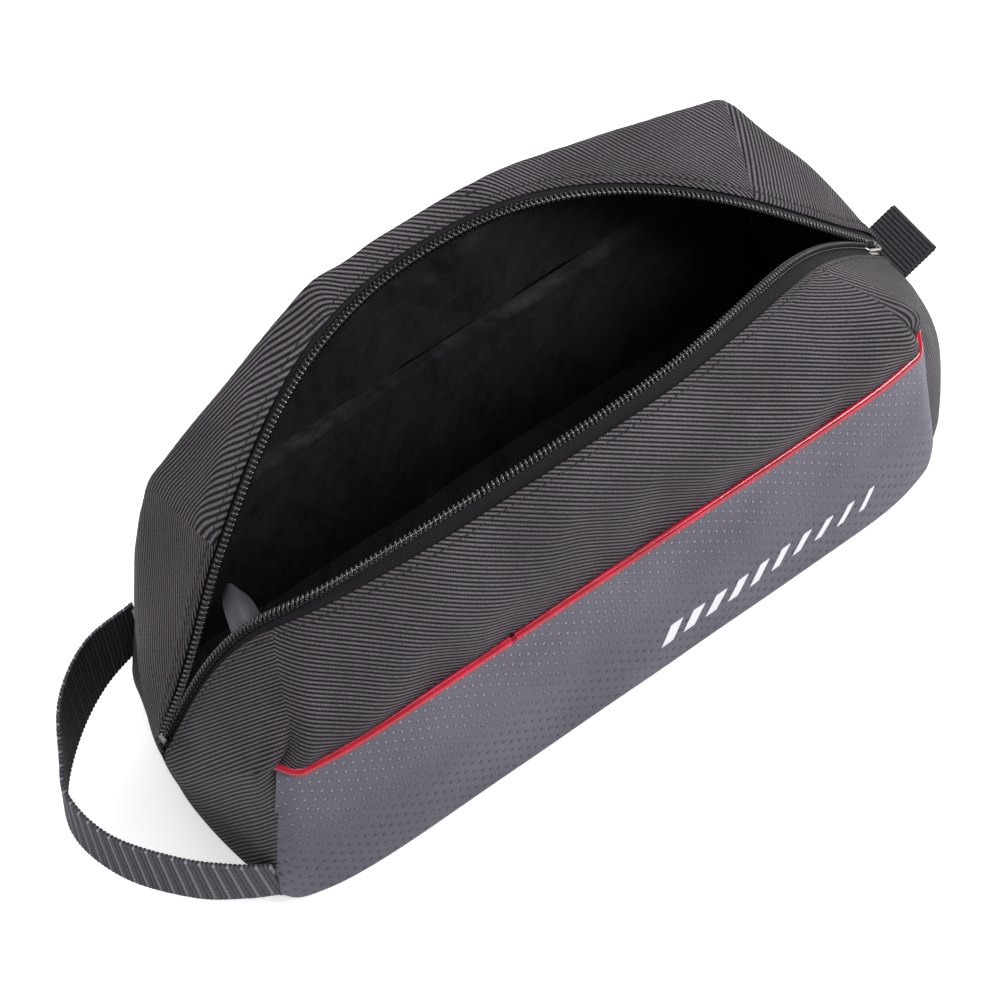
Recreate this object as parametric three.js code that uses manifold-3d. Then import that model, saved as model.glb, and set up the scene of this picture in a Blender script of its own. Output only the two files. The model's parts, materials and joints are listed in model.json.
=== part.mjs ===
// A zipped golf shoe bag with its mouth open, in millimetres, +Z up.
// X runs along the bag (carry handle at -X), the front faces -Y, and the base rests on z = 0.
// Fabric is built as thin closed sheets. The walls and flaps that lean inwards when the bag
// is zipped are modelled in their open position.
import * as THREE from "three";
import { mergeVertices } from "three/addons/utils/BufferGeometryUtils.js";
import Module from "manifold-3d";

const wasm = await Module();
wasm.setup();

// ---- Driving dimensions ----
const halfDepth = 60; // centre plane to the wall fabric
const baseHalfLength = 168; // centre to the corner seams at the base
const cornerHalfLength = 152; // centre to the corner seams at the wall seam
const wallSeamHeight = 108; // where the lower panel meets the flap
const wallBulge = 5; // how far a wall bows out at its middle
const wallAxisHeight = 60; // the upper wall leans about this line
const flapAxisHeight = 92; // the flap turns about this line
const movingHalfLength = 118; // the part of walls and flaps that leans as the bag is zipped

const zip = {
  halfSpan: 181, // centre to the sewn end of the zipper
  endHeight: 76,
  ridgeHeight: 145, // of the closed zipper at the middle
  tapeWidth: 7,
  tapeThickness: 0.8,
  coilWidth: 2.8,
  coilThickness: 2.2,
  centreGap: 1.6, // closed coil to the centre plane
};
const openAngle = { front: 33, back: 46 }; // degrees from closed to the open rest position

const fabric = 1.4;
const lining = 0.6;
const padding = 3;
const gap = 0.4; // between sewn pieces
const leanClearance = 2; // round the part of a wall that leans
const flapClearance = 7; // keeps the flap clear of the wall as both lean
const shoulderHeight = 145; // control height that rounds the flap over
const webbing = { width: 27, thickness: 1.8 };
const pipingRadius = 2.3;
const base = { clothThickness: 2, boardThickness: 1.6, boardScale: 0.94, endBow: 8 };
const tub = { halfLength: 152, prow: 166, halfDepth: 54.5, wall: 1 };

// The closed zipper lies on a circle in the XZ plane, so that its slider can run round it.
const zipRise = zip.ridgeHeight - zip.endHeight;
const zipRadius = (zip.halfSpan ** 2 + zipRise ** 2) / (2 * zipRise);
const zipCentreHeight = zip.ridgeHeight - zipRadius;
const zipHeight = (x) => zipCentreHeight + Math.sqrt(zipRadius ** 2 - x ** 2);
const zipStripWidth = zip.coilWidth + gap + zip.tapeWidth;
const sliderAngle = THREE.MathUtils.degToRad(39); // of the slider from the top of the circle

const sides = { front: -1, back: 1 };
const ends = { left: -1, right: 1 };

// ---- Materials ----
const materials = {
  twill: [0x413c41, 0.85, 0],
  embossed: [0x504e56, 0.5, 0],
  piping: [0xc4143a, 0.25, 0],
  lining: [0x0e0e12, 0.8, 0],
  foam: [0x77777a, 0.95, 0],
  board: [0x222226, 0.8, 0],
  tape: [0x16161a, 0.8, 0],
  coil: [0x0b0b0d, 0.3, 0],
  webbing: [0x1a1a1c, 0.8, 0],
  metal: [0xc9c9cf, 0.25, 1],
  label: [0x3a3a3e, 0.7, 0],
};

function material(name) {
  const [color, roughness, metalness] = materials[name];
  return new THREE.MeshStandardMaterial({ color, roughness, metalness });
}

const bag = new THREE.Group();

function add(name, geometry, materialName) {
  const mesh = new THREE.Mesh(geometry, material(materialName));
  mesh.name = name;
  bag.add(mesh);
  return mesh;
}

// ---- Sheets: a surface point(u, v) given thickness along its normal ----
// offset shifts the sheet's middle along the normal, du x dv.
function sheet(point, columns, rows, thickness, offset = 0) {
  const step = 1e-3;
  const normal = (u, v) => {
    const uu = Math.min(u, 1 - step);
    const vv = Math.min(v, 1 - step);
    const origin = point(uu, vv);
    const along = point(uu + step, vv).sub(origin);
    const across = point(uu, vv + step).sub(origin);
    return along.cross(across).normalize();
  };
  const positions = [];
  for (const level of [offset + thickness / 2, offset - thickness / 2]) {
    for (let j = 0; j <= rows; j++) {
      for (let i = 0; i <= columns; i++) {
        const u = i / columns;
        const v = j / rows;
        positions.push(...point(u, v).addScaledVector(normal(u, v), level));
      }
    }
  }
  const layer = (columns + 1) * (rows + 1);
  const at = (i, j, side) => side * layer + j * (columns + 1) + i;
  const triangles = [];
  const quad = (a, b, c, d) => triangles.push(a, b, c, a, c, d);
  for (let j = 0; j < rows; j++) {
    for (let i = 0; i < columns; i++) {
      quad(at(i, j, 0), at(i + 1, j, 0), at(i + 1, j + 1, 0), at(i, j + 1, 0));
      quad(at(i, j, 1), at(i, j + 1, 1), at(i + 1, j + 1, 1), at(i + 1, j, 1));
    }
  }
  for (let i = 0; i < columns; i++) {
    quad(at(i, 0, 1), at(i + 1, 0, 1), at(i + 1, 0, 0), at(i, 0, 0));
    quad(at(i, rows, 0), at(i + 1, rows, 0), at(i + 1, rows, 1), at(i, rows, 1));
  }
  for (let j = 0; j < rows; j++) {
    quad(at(0, j, 0), at(0, j + 1, 0), at(0, j + 1, 1), at(0, j, 1));
    quad(at(columns, j, 1), at(columns, j + 1, 1), at(columns, j + 1, 0), at(columns, j, 0));
  }
  const geometry = new THREE.BufferGeometry();
  geometry.setAttribute("position", new THREE.Float32BufferAttribute(positions, 3));
  geometry.setIndex(triangles);
  geometry.computeVertexNormals();
  return geometry;
}

// ---- Booleans ----
function toSolid(geometry) {
  const plain = new THREE.BufferGeometry();
  plain.setAttribute("position", geometry.getAttribute("position"));
  plain.setIndex(geometry.index);
  const merged = mergeVertices(plain, 1e-4);
  return new wasm.Manifold(
    new wasm.Mesh({
      numProp: 3,
      vertProperties: new Float32Array(merged.getAttribute("position").array),
      triVerts: new Uint32Array(merged.index.array),
    }),
  );
}

function toGeometry(solid) {
  const mesh = solid.getMesh();
  const geometry = new THREE.BufferGeometry();
  geometry.setAttribute("position", new THREE.BufferAttribute(mesh.vertProperties, 3));
  geometry.setIndex(new THREE.BufferAttribute(mesh.triVerts, 1));
  geometry.computeVertexNormals();
  return geometry;
}

function box(low, high) {
  const lowest = new THREE.Vector3(...low);
  const highest = new THREE.Vector3(...high);
  const geometry = new THREE.BoxGeometry(...highest.clone().sub(lowest));
  const middle = lowest.add(highest).multiplyScalar(0.5);
  return geometry.translate(...middle);
}

// ---- The bag's surfaces ----
// Half-length of a wall at a height: the corner seams lean inwards.
function seamHalfLength(height) {
  return baseHalfLength + ((cornerHalfLength - baseHalfLength) * height) / wallSeamHeight;
}

// A point of the front (side -1) or back (side 1) wall.
function wallPoint(side, x, height) {
  const upright = Math.sin((Math.PI * height) / (wallSeamHeight + 12));
  const bulge = wallBulge * upright * (1 - (x / baseHalfLength) ** 2);
  return new THREE.Vector3(x, side * (halfDepth + bulge), height);
}

// Turns a closed-position point of one side's flap to its open rest position.
function openFlap(side, point) {
  const angle = THREE.MathUtils.degToRad(side < 0 ? openAngle.front : openAngle.back);
  const axis = new THREE.Vector3(0, side * halfDepth, flapAxisHeight);
  const opening = new THREE.Vector3(-side, 0, 0);
  return point.sub(axis).applyAxisAngle(opening, angle).add(axis);
}

// A point of the open flap, at a distance down from its zipper edge.
function flapPoint(side, x, fromRim) {
  const seam = wallPoint(side, x, wallSeamHeight).setZ(wallSeamHeight + flapClearance);
  const rim = openFlap(side, new THREE.Vector3(x, side * zip.centreGap, zipHeight(x)));
  const shoulder = new THREE.Vector3(x, side * (halfDepth + 3), shoulderHeight);
  const section = new THREE.QuadraticBezierCurve3(rim, shoulder, seam);
  return section.getPoint(fromRim / rim.distanceTo(seam));
}

function flapLength(side, x) {
  const seam = wallPoint(side, x, wallSeamHeight).setZ(wallSeamHeight + flapClearance);
  const rim = openFlap(side, new THREE.Vector3(x, side * zip.centreGap, zipHeight(x)));
  return rim.distanceTo(seam);
}

const cornerAt = 0.75; // where an end panel's seam turns along the top of the wall
const centreInset = 1.8; // keeps the two halves of an end apart at their centre seam

// A point of an end panel: u runs up from the base, v from the corner seam to the end's centre.
function endPoint(end, side, u, v) {
  const out = halfDepth + 1;
  const top = wallSeamHeight + 1.8;
  const foot = new THREE.Vector3(baseHalfLength + 1.8, out, 3);
  const corner = new THREE.Vector3(cornerHalfLength + 1.8, out, top);
  const head = new THREE.Vector3(movingHalfLength + gap, out, top);
  const seam =
    u < cornerAt
      ? foot.lerp(corner, u / cornerAt)
      : corner.lerp(head, (u - cornerAt) / (1 - cornerAt));
  const beside = zip.centreGap + zipStripWidth + 1.6;
  const centre = new THREE.CatmullRomCurve3([
    new THREE.Vector3(baseHalfLength + 5, centreInset, 3),
    new THREE.Vector3(zip.halfSpan + 5, centreInset, 45),
    new THREE.Vector3(zip.halfSpan + 3, centreInset, zip.endHeight - 5),
    new THREE.Vector3(zip.halfSpan + 1, beside, zip.endHeight + 1),
    new THREE.Vector3(zip.halfSpan - 30, beside, zipHeight(zip.halfSpan - 30)),
    new THREE.Vector3(movingHalfLength + gap, beside, zipHeight(movingHalfLength)),
  ]);
  const point = seam.lerp(centre.getPoint(u), v);
  const outwards = new THREE.Vector3(1 - u, 1 - v, u).normalize();
  point.addScaledVector(outwards, (5 + 9 * u) * Math.sin(Math.PI * v));
  return point.set(end * point.x, side * point.y, point.z);
}

// Sheets face out when du x dv points out, so mirrored ones run the other way.
const flipped = (mirrored, u) => (mirrored ? 1 - u : u);

// ---- Base ----
const basePlan = new THREE.Shape();
{
  const length = baseHalfLength - 1;
  const depth = halfDepth - 2.5;
  basePlan.moveTo(-length, -depth);
  basePlan.lineTo(length, -depth);
  basePlan.quadraticCurveTo(length + base.endBow, 0, length, depth);
  basePlan.lineTo(-length, depth);
  basePlan.quadraticCurveTo(-length - base.endBow, 0, -length, -depth);
}

function basePlate(thickness, height, scale) {
  const settings = { depth: thickness, bevelEnabled: false, curveSegments: 8 };
  const geometry = new THREE.ExtrudeGeometry(basePlan, settings);
  return geometry.scale(scale, scale, 1).translate(0, 0, height);
}

const boardBottom = base.clothThickness + gap;
add("base_panel", basePlate(base.clothThickness, 0, 1), "embossed");
add("base_board", basePlate(base.boardThickness, boardBottom, base.boardScale), "board");

// ---- Walls ----
const wallBottom = 2.6;

function wallSheet(side, thickness, inset, low, high, halfLength) {
  const point = (u, v) => {
    const height = THREE.MathUtils.lerp(low, high, v);
    const reach = Math.min(seamHalfLength(height), halfLength);
    return wallPoint(side, reach * (2 * flipped(side > 0, u) - 1), height);
  };
  return sheet(point, 16, 8, thickness, -inset);
}

// The part of a wall that leans, and the rest of it.
function splitWall(geometry, side, low, clearance) {
  const reach = movingHalfLength + clearance;
  const edge = side * halfDepth;
  const beyond = 20;
  const mover = box(
    [-reach, edge - beyond, low - clearance],
    [reach, edge + beyond, wallSeamHeight + beyond],
  );
  const wall = toSolid(geometry);
  const block = toSolid(mover);
  return { fixed: toGeometry(wall.subtract(block)), moving: toGeometry(wall.intersect(block)) };
}

for (const [name, side] of Object.entries(sides)) {
  const cloth = side < 0 ? "embossed" : "twill";
  const whole = wallSheet(side, fabric, 0, wallBottom, wallSeamHeight, baseHalfLength);
  add(`${name}_panel_lower`, splitWall(whole, side, wallAxisHeight, leanClearance).fixed, cloth);
  add(`${name}_panel_upper`, splitWall(whole, side, wallAxisHeight, 0).moving, cloth);

  const inset = fabric / 2 + gap + padding / 2;
  const below = [6, wallAxisHeight - 3];
  const above = [wallAxisHeight + 2, wallSeamHeight - 8];
  const lowPad = wallSheet(side, padding, inset, ...below, baseHalfLength - 12);
  add(`${name}_padding_lower`, lowPad, "foam");
  const highPad = wallSheet(side, padding, inset, ...above, movingHalfLength - 2);
  add(`${name}_padding_upper`, highPad, "foam");
}

// ---- Red piping along the front wall seam ----
function piping(from, to) {
  const points = [];
  const outside = fabric / 2 + gap / 2 + pipingRadius;
  for (let i = 0; i <= 8; i++) {
    const x = THREE.MathUtils.lerp(from, to, i / 8);
    const point = wallPoint(sides.front, x, wallSeamHeight);
    points.push(point.add(new THREE.Vector3(0, -outside, 0)));
  }
  const profile = new THREE.Shape().absarc(0, 0, pipingRadius, 0, 2 * Math.PI);
  const extrudePath = new THREE.CatmullRomCurve3(points);
  return new THREE.ExtrudeGeometry(profile, { steps: 14, curveSegments: 6, extrudePath });
}

const pipingEnd = cornerHalfLength - 2;
add("front_piping", piping(-movingHalfLength, movingHalfLength), "piping");
add("front_piping_left", piping(-pipingEnd, -movingHalfLength - gap), "piping");
add("front_piping_right", piping(movingHalfLength + gap, pipingEnd), "piping");

// ---- Flaps, zipper tapes and coils ----
function flapStrip(side, near, far, thickness, offset = 0) {
  const point = (u, v) => {
    const x = movingHalfLength * (2 * flipped(side > 0, u) - 1);
    const low = Math.min(far, flapLength(side, x) - 0.01);
    return flapPoint(side, x, THREE.MathUtils.lerp(low, near, v));
  };
  return sheet(point, 14, far > 20 ? 6 : 1, thickness, offset);
}

// The same strip where it stays put, between the moving flap and the zipper's sewn end.
function endStrip(end, side, near, far, thickness) {
  const point = (u, v) => {
    const x = end * THREE.MathUtils.lerp(movingHalfLength + gap, zip.halfSpan - 0.5, u);
    const y = side * (zip.centreGap + THREE.MathUtils.lerp(far, near, flipped(end * side > 0, v)));
    return new THREE.Vector3(x, y, zipHeight(x));
  };
  return sheet(point, 8, 1, thickness);
}

const tapeNear = zip.coilWidth + gap;
const tapeFar = tapeNear + zip.tapeWidth;

for (const [name, side] of Object.entries(sides)) {
  add(`${name}_flap`, flapStrip(side, tapeFar + gap, Infinity, fabric), "twill");
  add(`${name}_flap_lining`, flapStrip(side, tapeFar + 3, 50, lining, -fabric - gap), "lining");
  add(`zip_tape_${name}`, flapStrip(side, tapeNear, tapeFar, zip.tapeThickness), "tape");
  add(`zip_coil_${name}`, flapStrip(side, 0, zip.coilWidth, zip.coilThickness), "coil");
  for (const [where, end] of Object.entries(ends)) {
    const tape = endStrip(end, side, tapeNear, tapeFar, zip.tapeThickness);
    add(`zip_tape_${name}_${where}`, tape, "tape");
    const coil = endStrip(end, side, 0, zip.coilWidth, zip.coilThickness);
    add(`zip_coil_${name}_${where}`, coil, "coil");
    const panel = (u, v) => endPoint(end, side, u, flipped(end * side > 0, v));
    add(`${where}_end_${name}`, sheet(panel, 12, 6, fabric), "twill");
  }
}

// ---- Lining tub ----
{
  const plan = (halfLength, prow, depth) => {
    const shape = new THREE.Shape();
    shape.moveTo(-halfLength, -depth);
    shape.lineTo(halfLength, -depth);
    shape.lineTo(prow, 0);
    shape.lineTo(halfLength, depth);
    shape.lineTo(-halfLength, depth);
    shape.lineTo(-prow, 0);
    return shape;
  };
  const floor = boardBottom + base.boardThickness + gap;
  const settings = { depth: wallAxisHeight - 4 - floor, bevelEnabled: false };
  const layer = (inset) => {
    const shape = plan(tub.halfLength - inset, tub.prow - inset, tub.halfDepth - inset);
    return new THREE.ExtrudeGeometry(shape, settings).translate(0, 0, floor + inset);
  };
  const outer = layer(0);
  const inner = layer(tub.wall);
  add("lining_tub", toGeometry(toSolid(outer).subtract(toSolid(inner))), "lining");
}

// ---- Slider, puller, stops, carry handle and end tab ----
// A place on the closed zipper circle, with its local X along the zipper and Z outwards.
function onZipper(mesh, angle, outwards) {
  const radius = zipRadius + outwards;
  mesh.position.set(radius * Math.sin(angle), 0, zipCentreHeight + radius * Math.cos(angle));
  mesh.rotation.y = angle;
  return mesh;
}

const slider = { length: 15, halfWidth: 5.5, gapHeight: 1.7, plate: 1.3, postHalfWidth: 1.1 };
{
  const { halfWidth, gapHeight, plate, postHalfWidth, length } = slider;
  const top = gapHeight + plate;
  const profile = new THREE.Shape();
  profile.moveTo(-halfWidth, -top);
  for (const [y, z] of [
    [halfWidth, -top],
    [halfWidth, -gapHeight],
    [postHalfWidth, -gapHeight],
    [postHalfWidth, gapHeight],
    [halfWidth, gapHeight],
    [halfWidth, top],
    [-halfWidth, top],
    [-halfWidth, gapHeight],
    [-postHalfWidth, gapHeight],
    [-postHalfWidth, -gapHeight],
    [-halfWidth, -gapHeight],
  ])
    profile.lineTo(y, z);
  const geometry = new THREE.ExtrudeGeometry(profile, { depth: length, bevelEnabled: false });
  geometry.translate(0, 0, -length / 2).rotateX(Math.PI / 2).rotateZ(Math.PI / 2);
  onZipper(add("slider_body", geometry, "metal"), sliderAngle, 0);
}

const bail = { halfLength: 3.6, height: 3.6, wall: 1, halfWidth: 1.2 };
{
  const arch = new THREE.Shape();
  arch.moveTo(-bail.halfLength, 0);
  arch.lineTo(bail.halfLength, 0);
  arch.lineTo(bail.halfLength - 0.8, bail.height);
  arch.lineTo(-bail.halfLength + 0.8, bail.height);
  const hole = new THREE.Path();
  hole.moveTo(-bail.halfLength + 1.4, bail.wall);
  hole.lineTo(bail.halfLength - 1.4, bail.wall);
  hole.lineTo(bail.halfLength - 1.6, bail.height - bail.wall);
  hole.lineTo(-bail.halfLength + 1.6, bail.height - bail.wall);
  arch.holes.push(hole);
  const geometry = new THREE.ExtrudeGeometry(arch, { depth: 2 * bail.halfWidth, bevelEnabled: false });
  geometry.translate(0, 0, -bail.halfWidth).rotateX(Math.PI / 2);
  const seat = slider.gapHeight + slider.plate + 0.05;
  onZipper(add("slider_bail", geometry, "metal"), sliderAngle, seat);
}

const puller = { length: 10, halfWidth: 3.9, wire: 1 };
{
  const ring = new THREE.Shape();
  const { length, halfWidth, wire } = puller;
  const rectangle = (path, x0, x1, half) => {
    path.moveTo(x0, -half);
    path.lineTo(x1, -half);
    path.lineTo(x1, half);
    path.lineTo(x0, half);
    return path;
  };
  rectangle(ring, -wire / 2, length, halfWidth);
  ring.holes.push(rectangle(new THREE.Path(), wire / 2, length - wire, halfWidth - wire));
  const geometry = new THREE.ExtrudeGeometry(ring, { depth: wire, bevelEnabled: false });
  geometry.translate(0, 0, -wire / 2);
  const pin = slider.gapHeight + slider.plate + 0.05 + bail.height / 2;
  onZipper(add("pull_ring", geometry, "metal"), sliderAngle, pin);
}

for (const [where, end] of Object.entries(ends)) {
  const stop = new THREE.BoxGeometry(2.4, 2 * zip.centreGap - 0.4, 2.4);
  const angle = end * Math.asin((zip.halfSpan - 1.8) / zipRadius);
  onZipper(add(`zip_stop_${where}`, stop, "metal"), angle, 0);
}

// Carry handle: webbing on edge, looped between the two left corner seams. Each place on the
// loop has a point of its lower edge, and how far its upper edge leans over in X and Y.
{
  const loop = [
    { at: [-172, -67, 10], lean: [0, 0] },
    { at: [-188, -52, 10], lean: [0, 3] },
    { at: [-210, -22, 8], lean: [1, 6] },
    { at: [-222, 10, 7], lean: [3, 5] },
    { at: [-214, 35, 9], lean: [4, 3] },
    { at: [-195, 55, 14], lean: [0, 6] },
    { at: [-172, 70, 22], lean: [0, 3] },
  ];
  const lower = loop.map(({ at }) => new THREE.Vector3(...at));
  const upper = loop.map(({ at, lean }) => {
    return new THREE.Vector3(at[0] + lean[0], at[1] + lean[1], at[2] + webbing.width);
  });
  const lowerEdge = new THREE.CatmullRomCurve3(lower);
  const upperEdge = new THREE.CatmullRomCurve3(upper);
  const point = (u, v) => {
    const along = flipped(true, u);
    return lowerEdge.getPoint(along).lerp(upperEdge.getPoint(along), v);
  };
  add("carry_handle", sheet(point, 24, 1, webbing.thickness), "webbing");
}

// End tab: a folded piece of webbing standing out from the right end of the zipper.
{
  const reach = 16;
  const layer = webbing.thickness;
  const fold = new THREE.Shape();
  fold.moveTo(0, -layer);
  fold.lineTo(reach - layer, -layer);
  fold.absarc(reach - layer, 0, layer, -Math.PI / 2, Math.PI / 2);
  fold.lineTo(0, layer);
  const settings = { depth: webbing.width, bevelEnabled: false, curveSegments: 6 };
  const geometry = new THREE.ExtrudeGeometry(fold, settings);
  geometry.translate(0, 0, -webbing.width / 2).rotateX(Math.PI / 2);
  const tab = add("end_tab", geometry, "webbing");
  tab.position.set(zip.halfSpan + 7.5, 0, zip.endHeight - 6);
  tab.rotation.y = THREE.MathUtils.degToRad(-24);
}

// A blank label that hangs from under the front zipper tape, near the handle end.
add("inner_label", box([-142, -9.2, 80], [-130, -8.4, 103.5]), "label");

export default bag;
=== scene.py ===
"""Looks of the golf shoe bag: sewn fabric, piping, zipper, webbing and lining on the frame."""
import json
import math

import bpy
import numpy as np
from mathutils import Matrix, Vector


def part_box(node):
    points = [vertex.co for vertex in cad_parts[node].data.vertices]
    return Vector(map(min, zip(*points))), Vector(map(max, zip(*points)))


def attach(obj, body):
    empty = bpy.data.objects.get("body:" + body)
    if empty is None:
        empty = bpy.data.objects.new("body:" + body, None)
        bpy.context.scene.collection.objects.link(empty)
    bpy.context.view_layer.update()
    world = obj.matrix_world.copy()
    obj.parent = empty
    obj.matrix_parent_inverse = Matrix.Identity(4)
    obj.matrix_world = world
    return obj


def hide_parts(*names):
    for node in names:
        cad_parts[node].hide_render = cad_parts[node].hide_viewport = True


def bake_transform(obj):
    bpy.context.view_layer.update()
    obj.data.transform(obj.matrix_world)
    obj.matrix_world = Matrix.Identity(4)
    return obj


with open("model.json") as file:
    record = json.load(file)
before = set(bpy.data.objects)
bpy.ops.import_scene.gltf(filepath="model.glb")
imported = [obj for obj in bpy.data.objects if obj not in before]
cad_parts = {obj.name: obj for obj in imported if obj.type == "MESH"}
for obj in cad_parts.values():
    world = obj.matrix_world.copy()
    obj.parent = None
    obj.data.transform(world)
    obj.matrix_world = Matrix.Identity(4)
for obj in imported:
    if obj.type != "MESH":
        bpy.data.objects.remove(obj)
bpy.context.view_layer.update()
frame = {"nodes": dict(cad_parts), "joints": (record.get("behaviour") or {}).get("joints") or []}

MM = 0.001  # lengths below are in millimetres, and meshes are in metres
FRONT, BACK = -1, 1
LEFT, RIGHT = -1, 1
SIDES = {FRONT: "front", BACK: "back"}
ENDS = {LEFT: "left", RIGHT: "right"}

# ---- Driving dimensions ----
BASE_DEPTH = 60.0  # centre to the corner seams
SEAM_HEIGHT = 106.0  # top seam of the wall panels
CORNER_SEAM = {  # centre to each corner seam, at the base and at the wall seam
    (FRONT, LEFT): (176.0, 158.0),
    (FRONT, RIGHT): (172.0, 156.0),
    (BACK, LEFT): (169.0, 143.0),
    (BACK, RIGHT): (172.0, 152.0),
}
CREASE_HEIGHT = 60.0  # the upper wall leans about this line
BULGE_LOW, BULGE_HIGH = 12.0, 6.5  # wall bulge near the base and at the seam
BASE_RADIUS = 9.0  # rounding of the lower edge
CORNER_RADIUS, CORNER_TRIM = 26.0, 11.0  # rounded lower corners of the wall panels
# Centre to each end's middle: at the base, at the seam height, and the bulge between them.
END_MIDDLE = {LEFT: (176.5, 186.0, 0.0), RIGHT: (175.0, 158.0, 21.0)}
END_BULGE_HEIGHT, MIDDLE_LEVEL = 112.0, 56.0  # the bulge ends, and the middle turns over
END_BOXINESS = {
    (FRONT, LEFT): 1.2,
    (BACK, LEFT): 1.1,
    (FRONT, RIGHT): 4.0,
    (BACK, RIGHT): 4.0,
}
RIM_CORNER = 128.0  # zipper position over the corner seams
COIL, COIL_PITCH = 3.6, 2.1
TAPE_SHOWN = {FRONT: (2.0, 5.8), BACK: (1.6, 2.2)}  # at the left end and at the middle
ZIP_SAG = (5.0, 6.0)  # how far the zipper's left end sags to the front and down
SAG_FROM, SAG_TO = 130.0, 175.0  # centre to where the sag starts and is full
FABRIC, THIN = 1.3, 0.5  # thickness of the outer cloth and of the lining

# ---- Places and angles from the frame ----
JOINTS = {joint["name"]: joint for joint in frame["joints"]}


def joint_place(name):
    return np.array(JOINTS[name]["pos_m"]) / MM


def joint_reach(name):
    return math.radians(JOINTS[name]["range_deg"][1])


ZIP_CENTRE = joint_place("slider_travel")[2]
ZIP_LOW, ZIP_HIGH = (np.array(corner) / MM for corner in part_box("zip_coil_front_right"))
ZIP_END = ZIP_HIGH[0]
ZIP_RADIUS = math.hypot(ZIP_END, ZIP_LOW[2] + 1.5 - ZIP_CENTRE)

# Where each quarter of the bag starts and ends to lean as it is zipped, in X and Z.
LEAN = {
    (FRONT, LEFT): ((-182, 60), (-92, 140)),
    (FRONT, RIGHT): ((192, 40), (45, 190)),
    (BACK, LEFT): ((-196, 40), (-36, 200)),
    (BACK, RIGHT): ((196, 40), (36, 200)),
}
SPLIT = {FRONT: -45.0, BACK: 0.0}  # where the left half's pieces meet the right half's

# The open fabric folds over along these lines: zipper position, then X, Y and Z.
FOLD = {
    FRONT: [
        (-ZIP_END, -182, 6, 66),
        (-155, -171, 36, 94),
        (-RIM_CORNER, -151, 63, 122),
        (-60, -66, 70.5, 122),
        (60, 68, 71, 123),
        (RIM_CORNER, 149, 63, 131),
        (158, 170, 33, 102),
        (ZIP_END, 185, 1, 74),
    ],
    BACK: [
        (-ZIP_END, -182, -4, 68),
        (-158, -168, 27, 94),
        (-RIM_CORNER, -133, 64, 133),
        (-45, -46, 69, 187),
        (34, 36, 69, 186),
        (82, 91, 68, 166),
        (RIM_CORNER, 149, 64, 147),
        (156, 166, 34, 124),
        (ZIP_END, 185, 1, 84),
    ],
}
FOLD_RADIUS = {FRONT: 16.0, BACK: 7.0}
FOLD_BLUR = {FRONT: 9.0, BACK: 4.0}  # softening of the fold line along its length


# ---- Curves of the bag ----
def smooth(t):
    t = np.clip(t, 0, 1)
    return t * t * (3 - 2 * t)


def hump(x, centre, width):
    """A soft ridge of height 1."""
    return np.exp(-(((x - centre) / width) ** 2))


def mix(a, b, t):
    return a + (b - a) * t


def points(x, y, z):
    return np.stack(np.broadcast_arrays(x, y, z), axis=-1).astype(float)


def unit(v):
    return v / np.maximum(np.linalg.norm(v, axis=-1, keepdims=True), 1e-9)


def lean_weight(side, end, x, z):
    start, stop = (np.array(p, float) for p in LEAN[side, end])
    line = stop - start
    along = (x - start[0]) * line[0] + (z - start[1]) * line[1]
    return smooth(along / line.dot(line))


def zip_height(x):
    return ZIP_CENTRE + np.sqrt(ZIP_RADIUS**2 - x**2)


RIM_ROUNDS = 14  # each moves the rim's height halfway to where its hinge angle puts it


def rim(side, x):
    """The open zipper edge: the closed one turned back about the flap's hinge."""
    hinge = SIDES[side] + "_flap_hinge"
    _, axis_y, axis_z = joint_place(hinge)
    depth = abs(axis_y)
    closed = zip_height(x)
    radius = np.hypot(depth, closed - axis_z)
    start = np.arctan2(closed - axis_z, depth)
    z = closed
    for _ in range(RIM_ROUNDS):
        weight = np.where(x < 0, lean_weight(side, LEFT, x, z), lean_weight(side, RIGHT, x, z))
        angle = start + joint_reach(hinge) * weight
        z = mix(z, axis_z + radius * np.sin(angle), 0.5)
    sag = smooth((-x - SAG_FROM) / (SAG_TO - SAG_FROM))
    y = side * (depth - radius * np.cos(angle)) - ZIP_SAG[0] * sag
    return points(x, y, axis_z + radius * np.sin(angle) - ZIP_SAG[1] * sag)


def corner_x(side, end, z):
    """Half-length to a corner seam, with the panels' rounded lower corners."""
    base, top = CORNER_SEAM[side, end]
    return mix(base, top, z / SEAM_HEIGHT) - CORNER_TRIM * rounding(z, CORNER_RADIUS)


def rounding(z, radius):
    """1 at the base, falling to 0 at a height along a quarter circle."""
    low = np.clip(1 - z / radius, 0, 1)
    return 1 - np.sqrt(1 - low**2)


def tuck(z):
    """How far the fabric has turned under at the lower edge."""
    return BASE_RADIUS * rounding(z, BASE_RADIUS)


def wall(side, across, z):
    """A wall point: across is -1 to 1 between the corner seams."""
    fullness = 1 - np.abs(across) ** 11
    bulge = mix(BULGE_LOW, BULGE_HIGH, smooth((z - 20) / 80))
    reach = np.where(across < 0, corner_x(side, LEFT, z), corner_x(side, RIGHT, z))
    return points(across * reach, side * (BASE_DEPTH + bulge * fullness - tuck(z)), z)


def end_level(t):
    """Height at which an end panel starts to turn over towards the zipper."""
    return mix(MIDDLE_LEVEL, SEAM_HEIGHT, smooth(t))


def middle_x(end, z):
    """Half-length to the middle of an end."""
    base, top, bulge = END_MIDDLE[end]
    trim = 0.4 * CORNER_TRIM * rounding(z, CORNER_RADIUS)
    full = np.sin(np.pi * np.clip(z / END_BULGE_HEIGHT, 0, 1)) ** 0.8
    return mix(base, top, z / SEAM_HEIGHT) - trim + bulge * full


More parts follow.
